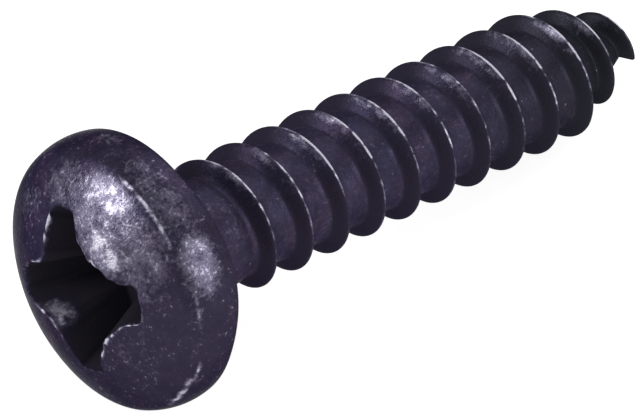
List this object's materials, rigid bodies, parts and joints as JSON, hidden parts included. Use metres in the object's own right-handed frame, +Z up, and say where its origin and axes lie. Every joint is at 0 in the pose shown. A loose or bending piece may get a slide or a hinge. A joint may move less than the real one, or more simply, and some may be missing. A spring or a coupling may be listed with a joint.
{
  "type": "sheet metal screw",
  "caption": "Pan head sheet metal screw with a cross recess, a coarse self-tapping thread and a gimlet point, in dark oxide.",
  "frame": {"origin": "centre of the bearing face under the head, on the screw's axis; the floor that the screw lies on is below it", "axes": "+Z is up as the screw lies at rest; +X runs along the screw towards its point, and the axis dips 7.22 degrees below +X because the head is wider than the thread; +Y completes the frame"},
  "size_m": [0.0221, 0.0082, 0.0081],
  "materials": {
    "dark_oxide_steel": "dark purple-black oxide on steel, semi-gloss, worn to bright metal on the crests and edges"
  },
  "bodies": {
    "root": {"screw": "dark_oxide_steel"}
  },
  "joints": []
}
